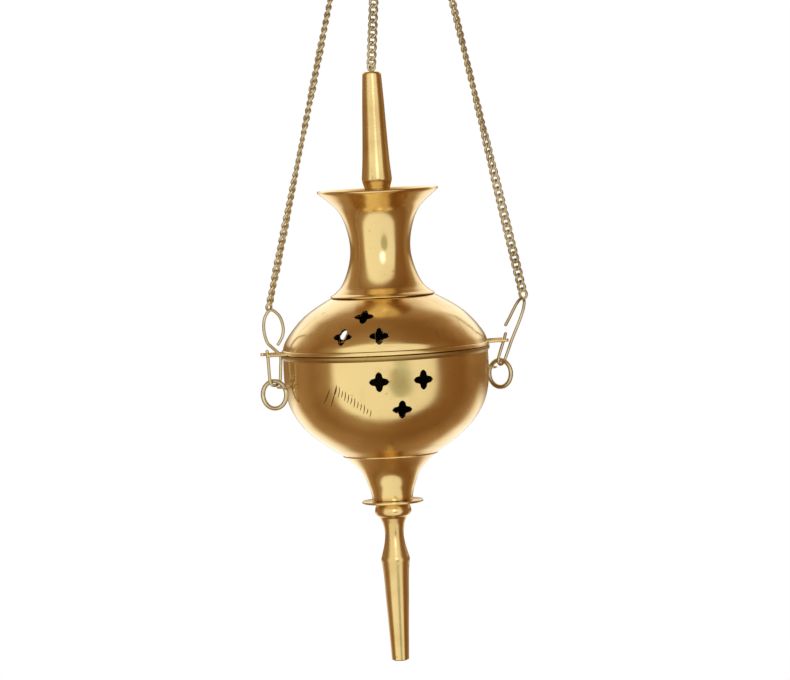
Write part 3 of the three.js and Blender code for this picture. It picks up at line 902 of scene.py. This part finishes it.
def pierced_plate(outer, holes, low, high, edge=0.3):
    """A flat plate with holes and softened edges."""
    loops = [outer] + holes
    verts, faces = [], []

    def level(loop, grow, z):
        row = []
        count = len(loop)
        for i, (x, y) in enumerate(loop):
            ax, ay = loop[i - 1]
            bx, by = loop[(i + 1) % count]
            normal = Vector((by - ay, ax - bx)).normalized()
            row.append(len(verts))
            verts.append(Vector((x + normal.x * grow, y + normal.y * grow, z)))
        return row

    faces_at = {}
    for number, loop in enumerate(loops):
        sign = -1 if number == 0 else 1
        levels = ((low, sign * edge), (low + edge, 0), (high - edge, 0), (high, sign * edge))
        rows = [level(loop, grow, z) for z, grow in levels]
        for a, b in zip(rows, rows[1:]):
            for i in range(len(loop)):
                j = (i + 1) % len(loop)
                faces.append([a[i], a[j], b[j], b[i]])
        faces_at[number] = (rows[0], rows[-1])
    for which in (0, 1):
        index, points, edges = [], [], []
        for number in range(len(loops)):
            row = faces_at[number][which]
            base = len(points)
            index += row
            points += [Vector(verts[i][:2]) for i in row]
            edges += [(base + i, base + (i + 1) % len(row)) for i in range(len(row))]
        out = delaunay_2d_cdt(points, edges, [], 0, 1e-6)
        outlines = [[tuple(verts[i][:2]) for i in faces_at[n][which]] for n in range(len(loops))]
        for face in out[2]:
            corners = [out[0][i] for i in face]
            x = sum(c[0] for c in corners) / len(corners)
            y = sum(c[1] for c in corners) / len(corners)
            if inside_loop(x, y, outlines[0]) and not any(inside_loop(x, y, o) for o in outlines[1:]):
                faces.append([index[out[3][i][0]] for i in face])
    return verts, faces


def add_crown(look):
    inside = HANG_RADIUS - HANG_WIRE
    ring = moved(wire_ring(HANG_RADIUS, HANG_WIRE, 72, 18), Matrix.Translation((0, 0, -inside)))
    add_piece("hang_ring", *ring, look["turned"], "hanging_ring", ["hanging_ring"])
    top, under = CROWN_Z + CROWN_THICK / 2, CROWN_Z - CROWN_THICK / 2
    outer = disc_outline(0, CROWN_CENTRE_Y, CROWN_RADIUS, 72)
    holes = [disc_outline(x, 0, radius, 24) for x, radius in CROWN_HOLES]
    plate = pierced_plate(outer, holes + [slot_outline()], under, top)
    add_piece("crown_disc", *plate, look["turned"], "crown", ["crown_plate"])
    eye_z = -inside - HANG_RADIUS + HANG_WIRE + GAP - (EYE_RADIUS - EYE_WIRE)
    place = Matrix.Translation((0, 0, eye_z)) @ Matrix.Rotation(pi / 2, 4, "Z")
    loop = moved(wire_ring(EYE_RADIUS, EYE_WIRE, 36, 12), place)
    shank = [(0, under - 1.3), (1.9, under - 1.2), (2.5, under - 0.8), (2.5, under - GAP), (1.4, under - GAP),
             (1.4, top + GAP), (2.5, top + GAP), (2.5, top + 0.9), (1.5, top + 1.3), (0, top + 1.4)]
    post = turn_profile(shank, Matrix.Identity(4), 40)
    add_piece("crown_loop", *merged(loop, post), look["turned"], "crown", ["crown_eye"])
    for side, node in ((-1, "left_crown_link"), (1, "right_crown_link")):
        centre = top + GAP + LINK_WIRE - LINK_RADIUS
        place = Matrix.Translation((side * LINK_X, 0, centre))
        link = moved(wire_ring(LINK_RADIUS, LINK_WIRE, 28, 10), place)
        add_piece(node + "_ring", *link, look["wire"], "bowl", [node], "pale_brass")


# ---------------------------------------------------------------- chains

LINK_PITCH = 3.3
CHAIN_WIRE = 0.65
LINK_HALF_LONG = 2.28
LINK_HALF_WIDE = 1.42
LINK_STEPS = 22
LINK_TWIST = radians(42)


def chain_link(wobble):
    """One twisted link along Z about the origin."""
    points = []
    for i in range(LINK_STEPS):
        angle = 2 * pi * i / LINK_STEPS
        x = LINK_HALF_LONG * cos(angle)
        y = LINK_HALF_WIDE * sin(angle) * (1 + 0.12 * sin(angle) ** 2)
        turn = LINK_TWIST * x / LINK_HALF_LONG + wobble
        points.append(Vector((y * cos(turn), y * sin(turn), x)))
    return sweep(points, CHAIN_WIRE, 8, closed=True)


def chain_between(start, end, roll):
    """Links in a straight row, their flat sides turned slowly about the line."""
    line = end - start
    count = round(line.length / LINK_PITCH)
    pitch = line.length / count
    upright = line.to_track_quat("Z", "Y").to_matrix().to_4x4()
    links = []
    for i in range(count):
        middle = start + line.normalized() * pitch * (i + 0.5)
        turn = roll + 0.5 * sin(0.13 * i) + 0.09 * sin(5.1 * i)
        place = Matrix.Translation(middle) @ upright @ Matrix.Rotation(turn, 4, "Z")
        links.append(moved(chain_link(0.05 * sin(7.7 * i)), place))
    return merged(*links)


EYE_CENTRE = BODY @ Vector((0, 0, LID_EYE_Z))
SLOT_CENTRE = Vector((0, SLOT_CHAIN_Y, CROWN_Z))
LID_PULL = (SLOT_CENTRE - EYE_CENTRE).normalized()


def on_lid_chain(z):
    return EYE_CENTRE + LID_PULL * ((z - EYE_CENTRE.z) / LID_PULL.z)


PULL_PIVOT_Z, PULL_LAY_BACK = -22.3, 70.0
LID_CHAIN_FOOT = on_lid_chain(EYE_CENTRE.z + 2.6)
LID_CHAIN_HEAD = on_lid_chain(PULL_PIVOT_Z - 1.7)
# Each chain's ends, its roll about its own line, the body it rides on, and how far its links pass each end.
CHAINS = {
    "left_chain": ((-8.0, 0, -30.2), (-53.4, 0, -250.1), 0.3, "bowl", (1.4, 1.2)),
    "right_chain": ((8.0, 0, -30.2), (62.7, 0, -246.1), 1.1, "bowl", (1.4, 1.2)),
    "lid_chain": (LID_CHAIN_FOOT, LID_CHAIN_HEAD, 0.2, "lid", (2.2, 1.6)),
}


def add_chains(look):
    for name, (start, end, roll, body, (before, after)) in CHAINS.items():
        start, end = Vector(start), Vector(end)
        along = (end - start).normalized()
        links = chain_between(start - along * before, end + along * after, roll)
        piece = add_piece(name + "_links", *links, look["chain"], body, [name], "pale_brass")


# ---------------------------------------------------------------- hooks, rings and eyelets

HOOK_WIRE = 0.7
HOOKS = {
    "left_hook": ((-51.0, 0, -285.1), 15.0, 0.0, [
        (1.8, 18.1), (3.9, 21.6), (4.3, 25.6), (2.4, 30.5), (-1.8, 33.3), (-4.8, 30.0), (-5.3, 24.7),
        (-3.8, 19.4), (-1.2, 16.8), (1.8, 14.3), (3.1, 12.2), (3.0, 7.1), (2.9, 3.1), (1.8, 0.8),
        (0.0, 0.0), (-1.8, 0.8), (-2.4, 3.1), (-2.8, 7.1), (-3.2, 11.5), (-3.7, 15.2)]),
    "right_hook": ((52.0, 0, -277.2), 38.0, 18.5, [
        (-5.2, 17.3), (-4.2, 20.6), (-3.2, 24.6), (-2.0, 28.4), (0.0, 30.9), (2.6, 30.4), (3.9, 27.3),
        (4.0, 23.6), (3.7, 19.3), (3.1, 14.9), (2.7, 11.0), (2.6, 7.1), (2.3, 2.8), (1.5, 0.7),
        (0.0, 0.0), (-1.8, 0.8), (-2.7, 2.9), (-2.9, 7.2), (-3.0, 10.9), (-3.2, 13.7)]),
}
RING_RADIUS, RING_WIRE = 6.0, 1.0
PULL_RADIUS, PULL_WIRE = 6.0, 0.9
RINGS = {"left_ring": ("left_hook", -45.0), "right_ring": ("right_hook", -53.0)}


def add_hooks(look):
    for name, (at, yaw, lean, route) in HOOKS.items():
        line = smooth_line([(u, 0, v) for u, v in route], 6)
        tilt = Matrix.Translation(at) @ Matrix.Rotation(radians(lean), 4, "Y")
        wire = moved(sweep(line, HOOK_WIRE, 14), tilt @ Matrix.Rotation(radians(yaw), 4, "Z"))
        add_piece(name + "_wire", *wire, look["wire"], "bowl", [name], "pale_brass")


def add_rings(look):
    for name, (hook, yaw) in RINGS.items():
        x, _, z = HOOKS[hook][0]
        centre = z + HOOK_WIRE + GAP + RING_WIRE - RING_RADIUS
        place = Matrix.Translation((x, 0, centre)) @ Matrix.Rotation(radians(yaw), 4, "Z")
        ring = moved(wire_ring(RING_RADIUS, RING_WIRE, 56, 14), place)
        add_piece(name + "_wire", *ring, look["wire"], name, [name], "pale_brass")
    at = on_lid_chain(PULL_PIVOT_Z)
    tilt = Matrix.Translation(at) @ Matrix.Rotation(radians(-PULL_LAY_BACK), 4, "X")
    place = tilt @ Matrix.Translation((0, 0, PULL_RADIUS))
    ring = moved(wire_ring(PULL_RADIUS, PULL_WIRE, 56, 14), place)
    add_piece("pull_ring_wire", *ring, look["wire"], "pull_ring", ["pull_ring"], "pale_brass")


EYELETS = {"left_eyelet": (184.2, 47.6, -13.4), "right_eyelet": (5.0, 49.2, -11.2)}
EYELET_HOLE, EYELET_OUTER, EYELET_THICK = 2.0, 3.3, 1.0
RIVET_HEAD = [(0, 0), (2.0, 0.15), (2.1, 0.6), (1.2, 1.0), (0, 1.1)]


def add_eyelets(look):
    middle = (EYELET_HOLE + EYELET_OUTER) / 2
    wire = (EYELET_OUTER - EYELET_HOLE) / 2
    for name, (azimuth, radius, z) in EYELETS.items():
        place = BODY @ Matrix.Rotation(radians(azimuth), 4, "Z")
        flat = Matrix.Diagonal((1, 1, EYELET_THICK / (2 * wire), 1))
        spot = Matrix.Translation((radius, 0, z)) @ flat @ Matrix.Rotation(pi / 2, 4, "X")
        loop = moved(wire_ring(middle, wire, 36, 12), place @ spot)
        foot = sweep([(radius - EYELET_OUTER + 0.5, 0, z), (45.0, 0, z), (43.2, 0, z)], 1.05, 14)
        inner = Matrix.Translation((43.65, 0, z)) @ Matrix.Rotation(-pi / 2, 4, "Y")
        rivet = turn_profile(RIVET_HEAD, place @ inner, 24)
        eyelet = merged(loop, moved(foot, place), rivet)
        add_piece(name + "_loop", *eyelet, look["wire"], "bowl", [name], "pale_brass")


# ---------------------------------------------------------------- coal cup and hidden hardware


CUP_OUTSIDE = [(12.0, -41.0), (20.0, -40.8), (27.0, -38.2), (31.0, -33.6), (32.6, -31.1), (37.0, -31.0)]
CUP_INSIDE = [(37.0, -29.8), (31.8, -29.8), (30.2, -32.2), (26.2, -37.0), (19.6, -39.5), (12.0, -39.6)]


def add_cup(look):
    profile = [(0, -41.0), *smooth_line(CUP_OUTSIDE, 5), *smooth_line(CUP_INSIDE, 5), (0, -39.6)]
    cup = turn_profile(profile, steps=FINE_STEPS)
    add_piece("cup", *cup, look["iron"], "coal_cup", ["coal_cup"], "iron")


def finish_hardware(look):
    for node in ("top_stud", "top_nut", "bottom_stud", "bottom_nut"):
        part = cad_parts[node]
        part.data.materials.clear()
        part.data.materials.append(look["hardware"])


# ---------------------------------------------------------------- making

add_camera()
look = make_materials()
add_chains(look)
add_world()
add_floor()
add_bowl(look)
add_lower_parts(look)
add_dome(look)
add_neck(look)
add_mouth(look)
add_brim(look)
add_finial_eye(look)
add_engraving(look)
add_crown(look)
add_hooks(look)
add_rings(look)
add_eyelets(look)
add_cup(look)
finish_hardware(look)
bpy.context.scene.view_settings.view_transform = "Standard"
